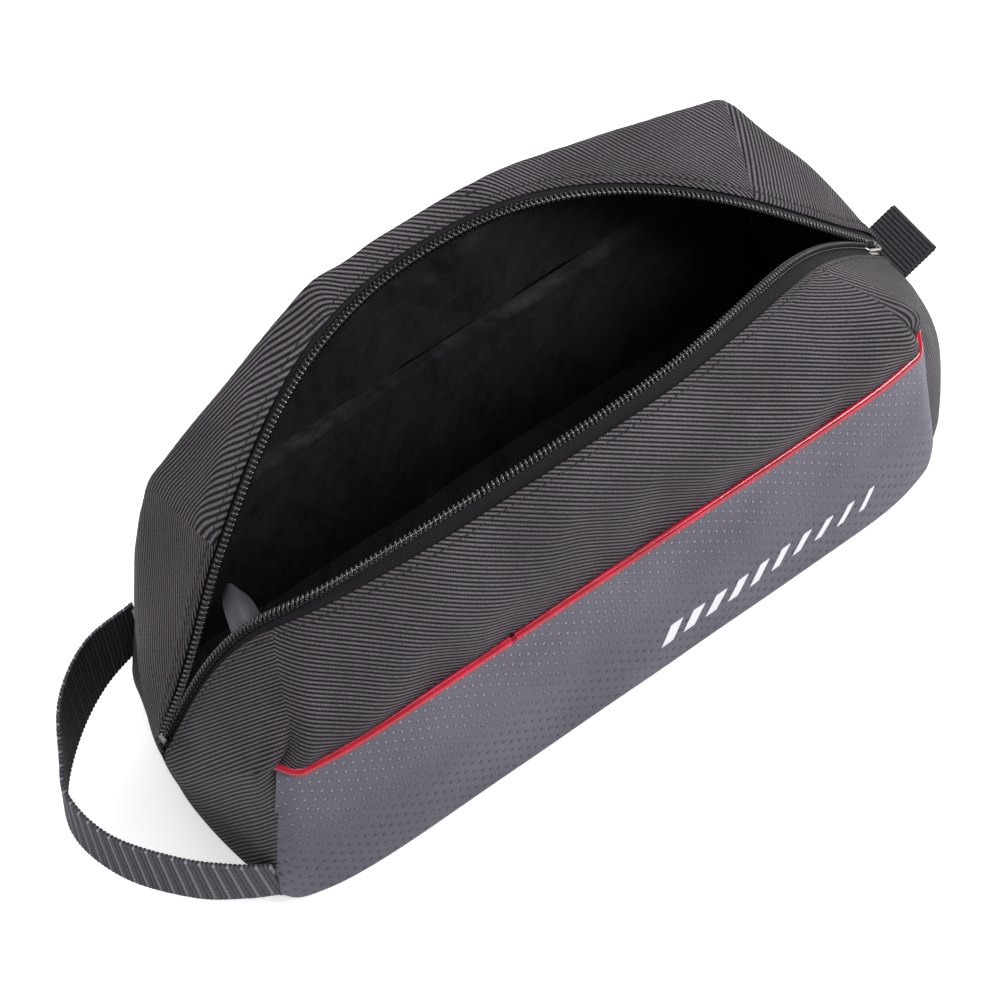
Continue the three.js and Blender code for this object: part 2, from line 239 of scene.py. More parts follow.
def end_wall(side, end, t, z):
    """An end panel point: t runs from the centre seam (0) to the corner seam (1)."""
    corner = corner_x(side, end, z)
    x = mix(middle_x(end, z) - tuck(z), corner, t ** END_BOXINESS[side, end])
    y = side * (BASE_DEPTH * t - tuck(z) * t**3)
    if end == LEFT:
        y = y - ZIP_SAG[0] * smooth(z / 70) * (1 - t)
    return points(end * x, y, z)


def over_end(x_rim):
    """0 over the end's centre seam and 1 over the corner seam."""
    return np.clip((ZIP_END - np.abs(x_rim)) / (ZIP_END - RIM_CORNER), 0, 1)


def level_point(side, x_rim):
    """Where the fabric over the seam level starts, below a point of the zipper."""
    t = over_end(x_rim)
    on_end = np.where(
        (x_rim < 0)[..., None],
        end_wall(side, LEFT, t, end_level(t)),
        end_wall(side, RIGHT, t, end_level(t)),
    )
    on_wall = wall(side, np.clip(x_rim / RIM_CORNER, -1, 1), SEAM_HEIGHT)
    return np.where((np.abs(x_rim) > RIM_CORNER)[..., None], on_end, on_wall)


def fold_point(side, x_rim):
    """The fold line, as a soft curve through its points."""
    at, x, y, z = np.array(FOLD[side]).T
    blur = np.linspace(-1, 1, 7) * FOLD_BLUR[side]
    spread = np.clip(np.asarray(x_rim)[..., None] + blur, -ZIP_END, ZIP_END)
    soft = [np.interp(spread, at, values).mean(axis=-1) for values in (x, y, z)]
    return points(soft[0], side * soft[1], soft[2])


def polyline_lengths(line):
    steps = np.linalg.norm(np.diff(line, axis=0), axis=-1)
    return np.concatenate([[0], np.cumsum(steps)])


def along_field(field, lengths, distance):
    """Values of a field of points, given at lengths along a line, at other distances."""
    return np.stack([np.interp(distance, lengths, field[:, k]) for k in range(3)], axis=-1)


def along_polyline(line, distance):
    return along_field(line, polyline_lengths(line), distance)


def section(side, x_rim):
    """One section of the open fabric, from the seam level over the fold to the zipper edge."""
    x_rim = np.array([x_rim])
    start, fold, finish = (place(side, x_rim)[0] for place in (level_point, fold_point, rim))
    radius = mix(14.0, FOLD_RADIUS[side], smooth((RIM_CORNER + 25 - abs(x_rim[0])) / 22))
    before = fold + unit(start - fold) * min(radius, 0.8 * np.linalg.norm(start - fold))
    after = fold + unit(finish - fold) * min(radius, 0.8 * np.linalg.norm(finish - fold))
    t = np.linspace(0, 1, 16)[:, None]
    bend = (1 - t) ** 2 * before + 2 * t * (1 - t) * fold + t**2 * after
    return np.concatenate([mix(start, before, t[:-1]), bend, mix(after, finish, t[1:])])


# ---- Grids of fabric ----
def tape_shown(side, x_rim):
    """Width of zipper tape between the coil and the hem."""
    left, middle = TAPE_SHOWN[side]
    return mix(left, middle, smooth((x_rim + 165) / 110))


def top_grid(side, columns, rows):
    """Fabric from the seam level to the hem beside the zipper tape, evenly spaced."""
    grid = []
    for x_rim in columns:
        line = section(side, x_rim)
        hem = polyline_lengths(line)[-1] - COIL - tape_shown(side, x_rim)
        grid.append(along_polyline(line, np.linspace(0, hem, rows)))
    return np.stack(grid, axis=1)


def side_normals(grid, side):
    """Outward normals of a grid whose columns run along +X."""
    along = np.gradient(grid, axis=1)
    across = np.gradient(grid, axis=0)
    return -side * unit(np.cross(along, across))


def spline(grid, axis, times):
    """Adds points between the grid's lines on a smooth curve."""
    g = np.moveaxis(grid, axis, 0)
    padded = np.concatenate([[2 * g[0] - g[1]], g, [2 * g[-1] - g[-2]]])
    at = np.arange((len(g) - 1) * times + 1) / times
    index = np.minimum(at.astype(int), len(g) - 2)
    t = (at - index).reshape(-1, *[1] * (g.ndim - 1))
    a, b, c, d = (padded[index + k] for k in range(4))
    fine = b + 0.5 * t * (c - a + t * (2 * a - 5 * b + 4 * c - d + t * (3 * (b - c) + d - a)))
    return np.moveaxis(fine, 0, axis)


def refine(grid, times):
    return spline(spline(grid, 0, times), 1, times)


# ---- Meshes ----
def new_object(name, vertices, faces, uv=None):
    mesh = bpy.data.meshes.new(name)
    mesh.from_pydata([tuple(v) for v in np.asarray(vertices) * MM], [], faces)
    if uv is not None:
        layer = mesh.uv_layers.new(name="cloth")
        index = np.zeros(len(mesh.loops), dtype=np.int32)
        mesh.loops.foreach_get("vertex_index", index)
        layer.data.foreach_set("uv", np.asarray(uv)[index].astype(np.float32).ravel())
    mesh.polygons.foreach_set("use_smooth", np.ones(len(mesh.polygons), dtype=bool))
    mesh.update()
    sharpen_border(mesh)
    obj = bpy.data.objects.new(name, mesh)
    bpy.context.collection.objects.link(obj)
    return obj


def sharpen_border(mesh):
    """Keeps the cut edges of a sheet from bending its shading."""
    edge = np.zeros(len(mesh.loops), dtype=np.int32)
    mesh.loops.foreach_get("edge_index", edge)
    uses = np.bincount(edge, minlength=len(mesh.edges))
    mesh.edges.foreach_set("use_edge_sharp", uses == 1)


def cloth_uv(grid):
    """Each point's place in the flat cloth, in millimetres."""
    rows, columns, _ = grid.shape
    along = np.linalg.norm(np.diff(grid, axis=1), axis=-1)
    up = np.linalg.norm(np.diff(grid, axis=0), axis=-1)
    u = np.concatenate([np.zeros((rows, 1)), np.cumsum(along, axis=1)], axis=1)
    v = np.concatenate([np.zeros((1, columns)), np.cumsum(up, axis=0)], axis=0)
    middle = columns // 2
    return np.stack([u - u[:, middle : middle + 1], v - v[:1]], axis=-1)


def grid_faces(rows, columns, flip):
    faces = []
    for j in range(rows - 1):
        for i in range(columns - 1):
            a = j * columns + i
            face = (a, a + 1, a + columns + 1, a + columns)
            faces.append(face[::-1] if flip else face)
    return faces


def sheet(name, grid, uv=None, flip=False):
    rows, columns, _ = grid.shape
    uv = cloth_uv(grid) if uv is None else uv
    faces = grid_faces(rows, columns, flip)
    return new_object(name, grid.reshape(-1, 3), faces, uv.reshape(-1, 2))


def thicken(obj, thickness=FABRIC, offset=-1):
    """Gives a sheet its thickness, on the inner side unless the offset says otherwise."""
    modifier = obj.modifiers.new("thickness", "SOLIDIFY")
    modifier.thickness = thickness * MM
    modifier.offset = offset
    return obj


def dress(obj, material):
    obj.data.materials.append(material)
    return obj


def sewn(name, grid, uv, side, material, thickness=FABRIC):
    """A thick, dressed sheet of the front or back."""
    return thicken(dress(sheet(name, grid, uv, side == BACK), material), thickness)


def tube_faces(rings, sides, base=0, closed=False):
    """Faces round a tube of vertex rings, with a cap at each end unless it closes on itself."""
    faces = []
    for i in range(rings if closed else rings - 1):
        a, b = base + i * sides, base + (i + 1) % rings * sides
        for j in range(sides):
            k = (j + 1) % sides
            faces.append((a + j, b + j, b + k, a + k))
    if not closed:
        last = base + (rings - 1) * sides
        faces.append(tuple(base + j for j in range(sides)))
        faces.append(tuple(last + j for j in reversed(range(sides))))
    return faces


def circle(sides):
    """Cosines and sines of evenly spaced angles."""
    turn = 2 * np.pi * np.arange(sides) / sides
    return np.cos(turn)[:, None], np.sin(turn)[:, None]


def tube(name, line, radius, sides=8):
    """A round cord along a line of points."""
    tangent = unit(np.gradient(line, axis=0))
    a = unit(np.cross(tangent, [0.0, 0.0, 1.0]))
    b = np.cross(a, tangent)
    cos, sin = circle(sides)
    vertices = (line[:, None] + (a[:, None] * cos + b[:, None] * sin) * radius).reshape(-1, 3)
    lengths = polyline_lengths(line)
    uv = np.stack(np.meshgrid(lengths, np.arange(sides), indexing="ij"), axis=-1).reshape(-1, 2)
    return new_object(name, vertices, tube_faces(len(line), sides), uv)


def fitted(obj, material, node, body):
    """Puts a rigid piece on a body, in place of a CAD node."""
    dress(obj, material)
    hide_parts(node)
    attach(obj, body)


def lean(obj):
    """Bakes the piece's placement into its mesh."""
    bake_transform(obj)
    return obj


def halves(side, columns):
    """The columns of the left and right halves, which share their meeting column."""
    meet = int(np.argmin(np.abs(columns - SPLIT[side])))
    return {LEFT: slice(0, meet + 1), RIGHT: slice(meet, len(columns))}


# ---- Node materials ----
def linear(code):
    """A displayed colour, written as hex, in the renderer's linear values."""
    shown = np.array([int(code[k : k + 2], 16) / 255 for k in (0, 2, 4)])
    values = np.where(shown <= 0.04045, shown / 12.92, ((shown + 0.055) / 1.055) ** 2.4)
    return (*values, 1.0)


class Recipe:
    """Builds one procedural material from a chain of small node calls."""

    def __init__(self, name):
        self.material = bpy.data.materials.new(name)
        self.material.use_nodes = True
        self.nodes = self.material.node_tree.nodes
        self.links = self.material.node_tree.links
        self.shader = self.nodes["Principled BSDF"]

    def put(self, socket, value):
        """Links an output to a socket, or sets the socket to a value or a hex colour."""
        if isinstance(value, bpy.types.NodeSocket):
            self.links.new(value, socket)
        else:
            socket.default_value = linear(value) if isinstance(value, str) else value

    def math(self, operation, a, b=0.0, c=0.0):
        node = self.nodes.new("ShaderNodeMath")
        node.operation = operation
        for socket, value in zip(node.inputs, (a, b, c)):
            self.put(socket, value)
        return node.outputs[0]

    def times(self, a, b):
        return self.math("MULTIPLY", a, b)

    def times_plus(self, a, b, c):
        return self.math("MULTIPLY_ADD", a, b, c)

    def range(self, value, low, high, to_low=0.0, to_high=1.0):
        node = self.nodes.new("ShaderNodeMapRange")
        node.interpolation_type = "SMOOTHSTEP"
        for socket, v in zip(node.inputs, (value, low, high, to_low, to_high)):
            self.put(socket, v)
        return node.outputs[0]

    def blend(self, factor, a, b):
        node = self.nodes.new("ShaderNodeMix")
        node.data_type = "RGBA"
        self.put(node.inputs["Factor"], factor)
        self.put(node.inputs[6], a)
        self.put(node.inputs[7], b)
        return node.outputs[2]

    def split(self, place):
        """The first two coordinates of a place."""
        node = self.nodes.new("ShaderNodeSeparateXYZ")
        self.links.new(place, node.inputs[0])
        return node.outputs[0], node.outputs[1]

    def cloth(self):
        """The piece's own cloth coordinates in millimetres."""
        node = self.nodes.new("ShaderNodeUVMap")
        node.uv_map = "cloth"
        return self.split(node.outputs[0])

    def place(self):
        return self.nodes.new("ShaderNodeTexCoord").outputs["Object"]

    def noise(self, size, detail=2.0, roughness=0.5):
        """Soft noise with features of a size in millimetres, fixed to the object."""
        node = self.nodes.new("ShaderNodeTexNoise")
        self.links.new(self.place(), node.inputs["Vector"])
        node.inputs["Scale"].default_value = 1 / (size * MM)
        node.inputs["Detail"].default_value = detail
        node.inputs["Roughness"].default_value = roughness
        return node.outputs["Fac"]

    def wave(self, value, pitch):
        """A rounded ridge from 0 to 1 that repeats each pitch."""
        return self.math("ABSOLUTE", self.math("SINE", self.times(value, math.pi / pitch)))

    def from_centre(self, value, pitch):
        """Signed distance from the middle of the repeat that a value is in."""
        share = self.math("FRACT", self.math("DIVIDE", value, pitch))
        return self.times(self.math("SUBTRACT", share, 0.5), pitch)

    def relief(self, height, depth):
        """Bumps of a depth in millimetres."""
        node = self.nodes.new("ShaderNodeBump")
        node.inputs["Strength"].default_value = 1.0
        node.inputs["Distance"].default_value = depth * MM
        self.put(node.inputs["Height"], height)
        self.links.new(node.outputs[0], self.shader.inputs["Normal"])

    def finish(self, colour, roughness, sheen=0.0, metallic=0.0, specular=0.5):
        settings = {
            "Base Color": colour,
            "Roughness": roughness,
            "Metallic": metallic,
            "Specular IOR Level": specular,
            "Sheen Weight": sheen,
            "Sheen Roughness": 0.4,
        }
        for setting, value in settings.items():
            self.put(self.shader.inputs[setting], value)
        return self.material


def turned(recipe, u, v, degrees):
    """Cloth coordinates across and along a direction."""
    c, s = math.cos(math.radians(degrees)), math.sin(math.radians(degrees))
    along = recipe.math("ADD", recipe.times(u, c), recipe.times(v, s))
    across = recipe.math("SUBTRACT", recipe.times(v, c), recipe.times(u, s))
    return along, across


TWILL_PITCH, FLOAT_LENGTH = 1.7, 0.9


def twill(name, degrees):
    """Polyester twill: slanting ribs of short yarn floats, coloured with a painted sheen on the rib
    tops and painted shade in the gaps between them.
    """
    r = Recipe(name)
    u, v = r.cloth()
    along, across = turned(r, u, v, degrees)
    rib = r.wave(across, TWILL_PITCH)
    step = r.math("FLOOR", r.math("DIVIDE", across, TWILL_PITCH))
    shifted = r.times_plus(step, 0.37, along)
    yarn = r.wave(shifted, FLOAT_LENGTH)
    height = r.times(rib, r.times_plus(yarn, 0.3, 0.7))
    worn = r.noise(38, 3)
    fuzz = r.noise(0.55, 2)
    # painted light: the pale rib tops and yarn floats are a painted sheen, and the dark gaps
    # between them are painted shade
    bright = r.times(r.math("POWER", rib, 2.6), r.times_plus(yarn, 0.45, 0.55))
    tone = r.times(bright, r.range(fuzz, 0.25, 0.75, 0.55, 1.2))
    tone = r.times(tone, r.range(worn, 0.3, 0.7, 0.75, 1.1))
    r.relief(r.times_plus(fuzz, 0.12, height), 0.4)
    shine = r.range(height, 0, 1, 0.8, 0.5)
    return r.finish(r.blend(tone, "0c0a0d", "736c74"), shine, 0.02, specular=0.2)


DOT_PITCH, DOT_RADIUS = 7.4, 1.0


def embossed(name):
    """Coated fabric with a staggered grid of small raised dots and a fine grain."""
    r = Recipe(name)
    u, v = r.cloth()
    row = r.math("FLOOR", r.math("DIVIDE", v, DOT_PITCH / 2))
    odd = r.math("MODULO", r.math("ABSOLUTE", row), 2.0)
    du = r.from_centre(r.times_plus(odd, DOT_PITCH / 2, u), DOT_PITCH)
    dv = r.from_centre(v, DOT_PITCH / 2)
    distance = r.math("SQRT", r.math("ADD", r.times(du, du), r.times(dv, dv)))
    dot = r.range(distance, DOT_RADIUS, 0.3 * DOT_RADIUS)
    moat = r.range(r.math("ABSOLUTE", r.math("SUBTRACT", distance, 1.25 * DOT_RADIUS)), 0.5, 0.0)
    weave = r.times(r.wave(u, 0.9), r.wave(v, 1.3))
    grain = r.noise(0.7, 3)
    worn = r.noise(45, 2)
    height = r.math("SUBTRACT", dot, r.times(moat, 0.35))
    height = r.math("ADD", height, r.times_plus(weave, 0.1, r.times(grain, 0.12)))
    r.relief(height, 0.5)
    base = r.blend(r.range(worn, 0.3, 0.7), "4e4b5a", "5c5968")
    base = r.blend(r.times(weave, 0.35), base, "34313c")
    # painted light and shade on the raised dots: pale dots near the piping and dark ones lower
    # down, as the light falls on them
    dot_painted_light = r.blend(r.range(v, 35, 95), "25232b", "a09bab")  # paler near the piping
    colour = r.blend(r.times(dot, 0.8), base, dot_painted_light)
    return r.finish(colour, r.range(grain, 0.3, 0.7, 0.4, 0.52), 0.02, specular=0.4)


def piping_vinyl():
    r = Recipe("piping_vinyl")
    worn = r.noise(14, 3)
    r.relief(r.noise(1.4, 3), 0.04)
    colour = r.blend(r.range(worn, 0.3, 0.7), "98061f", "b80a2e")
    return r.finish(colour, r.range(worn, 0.3, 0.7, 0.07, 0.12), specular=0.5)


def lining_cloth():
    """Thin plain-woven lining."""
    r = Recipe("lining_cloth")
    u, v = r.cloth()
    weave = r.times(r.wave(u, 0.7), r.wave(v, 0.7))
    folds = r.noise(20, 2)
    r.relief(r.times_plus(folds, 40.0, weave), 0.15)
    return r.finish(r.blend(folds, "0b0b0d", "1b1b20"), 0.5, 0.03, specular=0.35)


def tape_weave():
    """Woven zipper tape: a fine herringbone."""
    r = Recipe("zip_tape_weave")
    u, v = r.cloth()
    zigzag = r.math("ADD", u, r.times(r.wave(v, 1.6), 0.8))
    height = r.times(r.wave(zigzag, 0.8), r.times_plus(r.wave(v, 0.4), 0.3, 0.7))
    r.relief(height, 0.15)
    return r.finish(r.blend(height, "070709", "1f1f23"), 0.8, 0.03, specular=0.25)


def coil_nylon():
    r = Recipe("coil_nylon")
    grain = r.noise(0.8, 2)
    r.relief(grain, 0.03)
    return r.finish(r.blend(grain, "060607", "18181c"), 0.2, specular=0.9)


def thread(name, dark, light):
    """Twisted sewing thread, also used for the pale dashes that paint highlights on the zipper
    coil.
    """
    r = Recipe(name)
    u, v = r.cloth()
    twist = r.wave(r.times_plus(v, 0.12, u), 0.45)
    r.relief(twist, 0.06)
    return r.finish(r.blend(twist, dark, light), 0.6, 0.1)


RIB_PITCH = 1.9  # of the webbing


def webbing_weave(name, dark, light, threads):
    """Woven webbing: crossing ribs, each of short floats, with a thin pale thread between some."""
    r = Recipe(name)
    u, v = r.cloth()
    yarn = r.wave(v, 1.25)
    pick = r.wave(u, RIB_PITCH)
    height = r.times(r.math("POWER", pick, 0.7), r.times_plus(yarn, 0.5, 0.5))
    line = r.math("POWER", r.wave(u, 3 * RIB_PITCH), 40.0)
    dotted = r.times(line, r.math("POWER", yarn, 2.0))
    fuzz = r.noise(0.6, 2)
    tone = r.times(r.math("POWER", height, 1.6), r.range(fuzz, 0.25, 0.75, 0.5, 1.1))
    body = r.blend(tone, dark, light)
    colour = r.blend(r.times(dotted, threads), body, "a8a8b2")
    r.relief(height, 0.35)
    return r.finish(colour, 0.6, 0.03, specular=0.28)


def nickel():
    """Plated zinc with fine polishing marks."""
    r = Recipe("nickel")
    marks = r.noise(0.9, 4, 0.7)
    r.relief(marks, 0.02)
    colour = r.blend(marks, "b9b6b4", "e2dfdc")
    return r.finish(colour, r.range(marks, 0.3, 0.7, 0.16, 0.32), metallic=1.0)


def plain_weave(name, dark, light, pitch, rough):
    """A plain weave fixed to the object, for hidden cloth, board and foam."""
    r = Recipe(name)
    x, y = r.split(r.place())
    weave = r.times(r.wave(x, pitch * MM), r.wave(y, pitch * MM))
    tone = r.times(r.noise(1.5, 3), r.times_plus(weave, 0.5, 0.5))
    r.relief(tone, 0.15)
    return r.finish(r.blend(tone, dark, light), rough)


def print_ink():
    """Thick white print with a slightly uneven face."""
    r = Recipe("print_ink")
    grain = r.noise(0.6, 3)
    r.relief(grain, 0.04)
    return r.finish(r.blend(grain, "d6d7dd", "f2f3f7"), 0.38)


def paper_floor():
    """Pale paper that the camera sees as bright as the background."""
    r = Recipe("pale_floor")
    grain = r.noise(3, 2)
    seen = r.nodes.new("ShaderNodeLightPath").outputs["Is Camera Ray"]
    r.put(r.shader.inputs["Emission Color"], (1, 1, 1, 1))
    r.put(r.shader.inputs["Emission Strength"], r.times(seen, 0.6))
    return r.finish(r.blend(grain, "f0f0f0", "f6f6f6"), 0.9, specular=0.1)


TWILL_FLAP = {FRONT: twill("twill_front_flap", -35), BACK: twill("twill_back_flap", 35)}
TWILL_END = {FRONT: twill("twill_front_ends", 58), BACK: twill("twill_back_ends", 52)}
TWILL_WALL = twill("twill_back_wall", 35)
EMBOSSED = embossed("embossed_coating")
PIPING = piping_vinyl()
LINING = lining_cloth()
TAPE = tape_weave()
COIL_NYLON = coil_nylon()
TOPSTITCH = thread("topstitch_thread", "050506", "1d1c20")
# pale dashes along the zipper coil: painted highlights standing in for the glints on its glossy
# tips
COIL_GLINTS = thread("coil_painted_glints", "6d6d74", "e4e4ea")
NICKEL = nickel()
FOAM = plain_weave("foam_cells", "55555a", "8d8d92", 2.2, 0.95)
BOARD = plain_weave("board_fibre", "17171a", "35353a", 1.3, 0.8)
BASE_CLOTH = plain_weave("base_cloth", "1b1a1d", "4b484e", 1.1, 0.75)
LABEL_CLOTH = plain_weave("label_satin", "2a292d", "5e5b64", 0.5, 0.5)
STRAP_CLOTH = webbing_weave("strap_weave", "0e0e12", "5f5c67", 0.8)
TAB_CLOTH = webbing_weave("tab_weave", "08080a", "3a3940", 0.0)
PRINT = print_ink()


# ---- Fabric of one side: flap and end panels, draped together ----
END_STEPS, FLAP_STEPS, TOP_STEPS, LOW_STEPS = 13, 64, 24, 18
FINER = 2
END_PARTS = {LEFT: slice(0, END_STEPS + 1), RIGHT: slice(-END_STEPS - 1, None)}


def rim_columns():
    left = np.linspace(-ZIP_END, -RIM_CORNER, END_STEPS + 1)
    middle = np.linspace(-RIM_CORNER, RIM_CORNER, FLAP_STEPS + 1)
    return np.concatenate([left, middle[1:], -left[::-1][1:]])


def low_end_grid(side, columns):
    """An end panel from the lower edge up to its seam level."""
    t = over_end(columns)
    end = LEFT if columns[0] < 0 else RIGHT
    share = np.linspace(0, 1, LOW_STEPS + 1)[:, None] ** 1.2
    return end_wall(side, end, np.broadcast_to(t, (LOW_STEPS + 1, len(t))), share * end_level(t))


def skin_index(total_columns):
    """Vertex numbers of the top grid and of the two low end grids below its ends."""
    top = np.arange((TOP_STEPS + 1) * total_columns).reshape(TOP_STEPS + 1, total_columns)
    low = {}
    count = top.size
    for end, columns in END_PARTS.items():
        fresh = np.arange(LOW_STEPS * (END_STEPS + 1)).reshape(LOW_STEPS, END_STEPS + 1) + count
        low[end] = np.concatenate([fresh, top[:1, columns]])
        count += fresh.size
    return top, low, count


DRAPE_LIMIT, DRAPE_FRAMES, CALMING_ROUNDS = 4.0, 24, 4


def drape(vertices, faces, pinned):
    """Lets slightly oversized cloth settle between its sewn edges."""
    cloth = new_object("draping", vertices, faces)
    group = cloth.vertex_groups.new(name="sewn")
    group.add([int(k) for k in pinned], 1.0, "REPLACE")
    modifier = cloth.modifiers.new("cloth", "CLOTH")
    settings = modifier.settings
    settings.quality = 6
    settings.tension_stiffness = 40
    settings.compression_stiffness = 40
    settings.shear_stiffness = 15
    settings.bending_stiffness = 30
    settings.shrink_min = -0.008
    settings.use_pressure = True
    settings.uniform_pressure_force = 3
    settings.vertex_group_mass = "sewn"
    settings.effector_weights.gravity = 0
    modifier.collision_settings.use_collision = False
    scene = bpy.context.scene
    for number in range(DRAPE_FRAMES):
        scene.frame_set(number + 1)
    evaluated = cloth.evaluated_get(bpy.context.evaluated_depsgraph_get())
    settled = np.array([v.co for v in evaluated.data.vertices]) / MM
    scene.frame_set(1)
    bpy.data.objects.remove(cloth)
    move = settled - vertices
    length = np.linalg.norm(move, axis=1, keepdims=True)
    move = move * np.minimum(1, DRAPE_LIMIT / np.maximum(length, 1e-6))
    return vertices + calmed(move, faces, pinned)


def calmed(move, faces, pinned):
    """Averages each point's move with its neighbours', which leaves only the broad folds."""
    quads = np.array(faces)
    pairs = np.concatenate([quads[:, [k, (k + 1) % 4]] for k in range(4)])
    pairs = np.concatenate([pairs, pairs[:, ::-1]])
    count = np.bincount(pairs[:, 0], minlength=len(move))[:, None]
    for _ in range(CALMING_ROUNDS):
        total = np.zeros_like(move)
        np.add.at(total, pairs[:, 0], move[pairs[:, 1]])
        move = 0.5 * move + 0.5 * total / count
        move[pinned] = 0
    return move


def drape_side(side, columns):
    """The flap and the two end panels of one side, draped, and the same before draping."""
    top, low, count = skin_index(len(columns))
    vertices = np.zeros((count, 3))
    vertices[top] = top_grid(side, columns, TOP_STEPS + 1)
    for end, part in END_PARTS.items():
        vertices[low[end][:-1]] = low_end_grid(side, columns[part])[:-1]
    flat = cut_skin(vertices, top, low)
    flip = side == BACK
    faces = grid_faces(*top.shape, flip)
    for end in (LEFT, RIGHT):
        number = low[end].ravel()
        faces += [tuple(number[k] for k in face) for face in grid_faces(*low[end].shape, flip)]
    held = [top[-1], top[0, END_STEPS:-END_STEPS], top[:, 0], top[:, -1]]
    for end in (LEFT, RIGHT):
        held += [low[end][0], low[end][:, 0], low[end][:, -1]]
    vertices = drape(vertices, faces, np.unique(np.concatenate(held)))
    return cut_skin(vertices, top, low), flat


def cut_skin(vertices, top, low):
    """The draped points as fine grids: the flap, and the end panel at each end."""
    inner = END_STEPS * FINER
    pieces = {"flap": refine(vertices[top], FINER)[:, inner:-inner]}
    for end, part in END_PARTS.items():
        pieces[end] = refine(np.concatenate([vertices[low[end]], vertices[top][1:, part]]), FINER)
    return pieces


DART = {FRONT: (4.5, 0.5), BACK: (2.0, 0.3)}  # depth, and height as a share of the flap


def crease(grid, side, corner):
    """Pinches the fabric in along a corner column: the seam, and the dart above it."""
    reach = np.linalg.norm(grid - grid[:, corner][:, None], axis=-1)
    top_rows = TOP_STEPS * FINER
    above = (np.arange(len(grid)) - (len(grid) - 1 - top_rows)) / top_rows
    depth, height = DART[side]
    dart = smooth(1 - np.abs(above - 0.12) / height) * depth
    seam = 1.4 * smooth(1 - above / 0.3)
    pinch = np.maximum(dart, seam)[:, None]
    shape = 0.28 * hump(reach, 9, 5) - hump(reach, 0, 3.6)
    return grid + side_normals(grid, side) * (pinch * shape)[..., None]


def below_hem(grid):
    """Distance of each point from the hem, measured down the cloth."""
    steps = np.linalg.norm(np.diff(grid, axis=0), axis=-1)
    down = np.cumsum(steps[::-1], axis=0)[::-1]
    return np.concatenate([down, np.zeros((1, grid.shape[1]))])


HEM_WIDTH, HEM_STITCH = 6.5, 3.4


def folded_hem(grid, side):
    """Raises the doubled cloth of the hem, with a groove where it is stitched."""
    distance = below_hem(grid)
    raised = 0.55 * smooth((HEM_WIDTH - distance) / 1.6)
    groove = 0.4 * hump(distance, HEM_STITCH, 1.1)
    rolled = 0.7 * smooth(1 - distance / 1.2)
    return grid + side_normals(grid, side) * (raised - groove - rolled)[..., None]


STITCH_ARCH, STITCH_SUNK = 0.34, 0.12


def stitches(name, lines, length=2.6, gap=0.9, radius=0.27):
    """Rows of short threads that dip into the cloth at both ends. lines holds (line, normals)."""
    sides, steps = 6, 5
    cos, sin = circle(sides)
    vertices, faces, uv = [], [], []
    for line, normal in lines:
        lengths = polyline_lengths(line)
        for start in np.arange(gap, lengths[-1] - length, length + gap):
            at = np.linspace(start, start + length, steps)
            path = along_field(line, lengths, at)
            up = unit(along_field(normal, lengths, at))
            arch = STITCH_ARCH * np.sin(np.pi * np.linspace(0, 1, steps)) - STITCH_SUNK
            path = path + up * arch[:, None]
            across = unit(np.cross(up, np.gradient(path, axis=0)))
            faces += [face[::-1] for face in tube_faces(steps, sides, len(vertices))]
            for k in range(steps):
                vertices += list(path[k] + (across[k] * cos + up[k] * sin) * radius)
                uv += [(at[k], j) for j in range(sides)]
    return new_object(name, vertices, faces, np.array(uv, float))


def line_from_hem(grid, side, distance):
    """A line at a distance below the hem, with its normals."""
    normal = side_normals(grid, side)
    down = below_hem(grid)
    columns = range(grid.shape[1])
    return tuple(
        np.array([along_field(field[::-1, i], down[::-1, i], distance) for i in columns])
        for field in (grid, normal)
    )


def inner_sheet(grid, side, near_hem, far):
    """A lining inside a grid: near_hem millimetres in at its last row and far at its first."""
    share = np.linspace(1, 0, grid.shape[0])[:, None]
    depth = mix(near_hem, far, smooth(share * 1.6))
    loose = 0.9 * np.sin(grid[..., 0] / 9.0 + grid[..., 2] / 17.0) * np.sin(np.pi * share)
    return grid - side_normals(grid, side) * (depth + np.abs(loose))[..., None]


